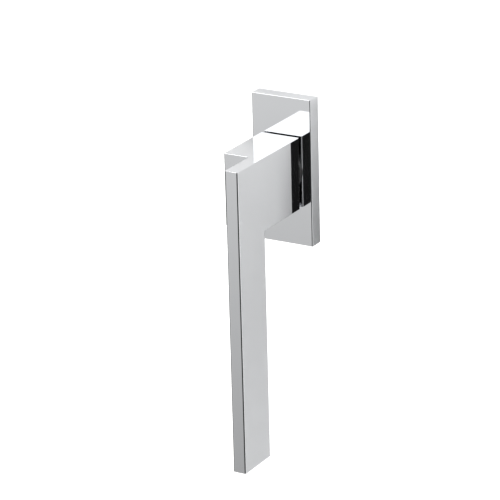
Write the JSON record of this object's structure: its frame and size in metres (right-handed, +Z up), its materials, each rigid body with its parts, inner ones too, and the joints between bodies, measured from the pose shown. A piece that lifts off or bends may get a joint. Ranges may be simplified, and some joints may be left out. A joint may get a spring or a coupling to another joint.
{
  "type": "tilt turn window handle",
  "caption": "Square-cut chrome lever on a tall rectangular rose, turning a square spindle through locked, turn and tilt positions with a spring detent.",
  "frame": {"origin": "on the spindle axis, in the mounting plane at the back of the rose", "axes": "+X to the right seen from the room, +Y into the window sash along the spindle, +Z up; the lever points down at rest"},
  "size_m": [0.0306, 0.0815, 0.1623],
  "materials": {
    "chrome": "mirror-polished chrome plate",
    "cast_zinc": "plain die-cast zinc, matt grey",
    "hardened_steel": "oiled hardened steel",
    "zinc_plate": "bright zinc-plated steel",
    "black_steel": "black oxide steel",
    "spring_steel": "bright spring steel",
    "black_nylon": "moulded black nylon",
    "white_nylon": "moulded natural nylon"
  },
  "bodies": {
    "rose": {"rose_cover": "chrome", "neck_bush": "black_nylon", "base_plate": "cast_zinc", "thrust_washer": "white_nylon", "left_spring": "spring_steel", "right_spring": "spring_steel", "mechanism_lid": "zinc_plate", "lid_rivet_1": "zinc_plate", "lid_rivet_2": "zinc_plate", "lid_rivet_3": "zinc_plate", "lid_rivet_4": "zinc_plate", "upper_screw": "zinc_plate", "lower_screw": "zinc_plate", "upper_cover_clip": "spring_steel", "lower_cover_clip": "spring_steel"},
    "handle": {"lever": "chrome", "grub_screw": "black_steel", "spindle": "zinc_plate", "drive_cam": "hardened_steel"}
  },
  "joints": [
    {"name": "handle_turn", "type": "hinge", "parent": "rose", "child": "handle", "pos_m": [0, 0, 0], "axis": [0, -1, 0], "range_deg": [0, 180], "deforming": ["left_spring", "right_spring"]}
  ]
}
